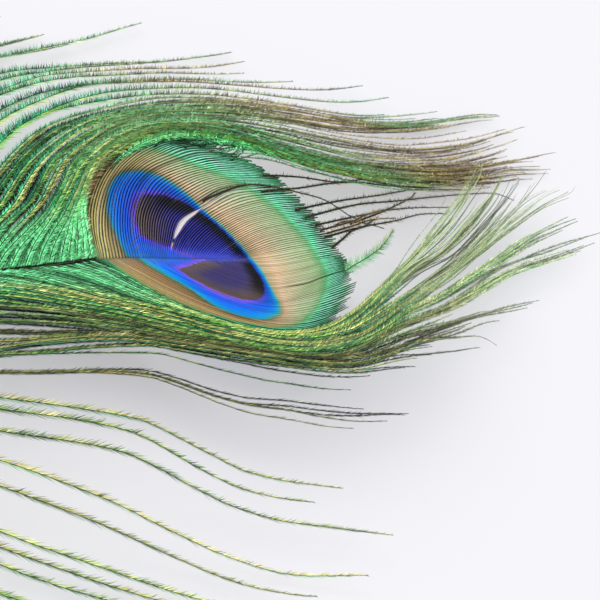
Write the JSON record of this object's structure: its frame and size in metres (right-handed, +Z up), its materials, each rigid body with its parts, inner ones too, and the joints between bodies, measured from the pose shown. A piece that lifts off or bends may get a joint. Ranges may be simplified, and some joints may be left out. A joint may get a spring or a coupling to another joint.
{
  "type": "peacock feather",
  "caption": "Tail covert feather with a long curved shaft, loose green barbs on both sides, downy base and a blue and bronze eye near its tip, lying face up.",
  "frame": {"origin": "centre of the footprint, on the surface that the feather lies on", "axes": "+X along the shaft from the quill to the tip, +Y to the feather's left, +Z up from the face"},
  "size_m": [0.3014, 0.1059, 0.0083],
  "materials": {
    "shaft": "horn, pale and slightly glossy at the quill, greenish brown towards the eye",
    "eye": "iridescent vane: dark violet heart, blue ring, bronze ring, green rim",
    "barbs": "iridescent green barbs that turn bronze brown at the tips",
    "down": "soft matt grey-brown down"
  },
  "bodies": {
    "root": {"shaft": "shaft", "eye_left": "eye", "eye_right": "eye", "barbs_left": "barbs", "barbs_right": "barbs", "down_left": "down", "down_right": "down"}
  },
  "joints": []
}
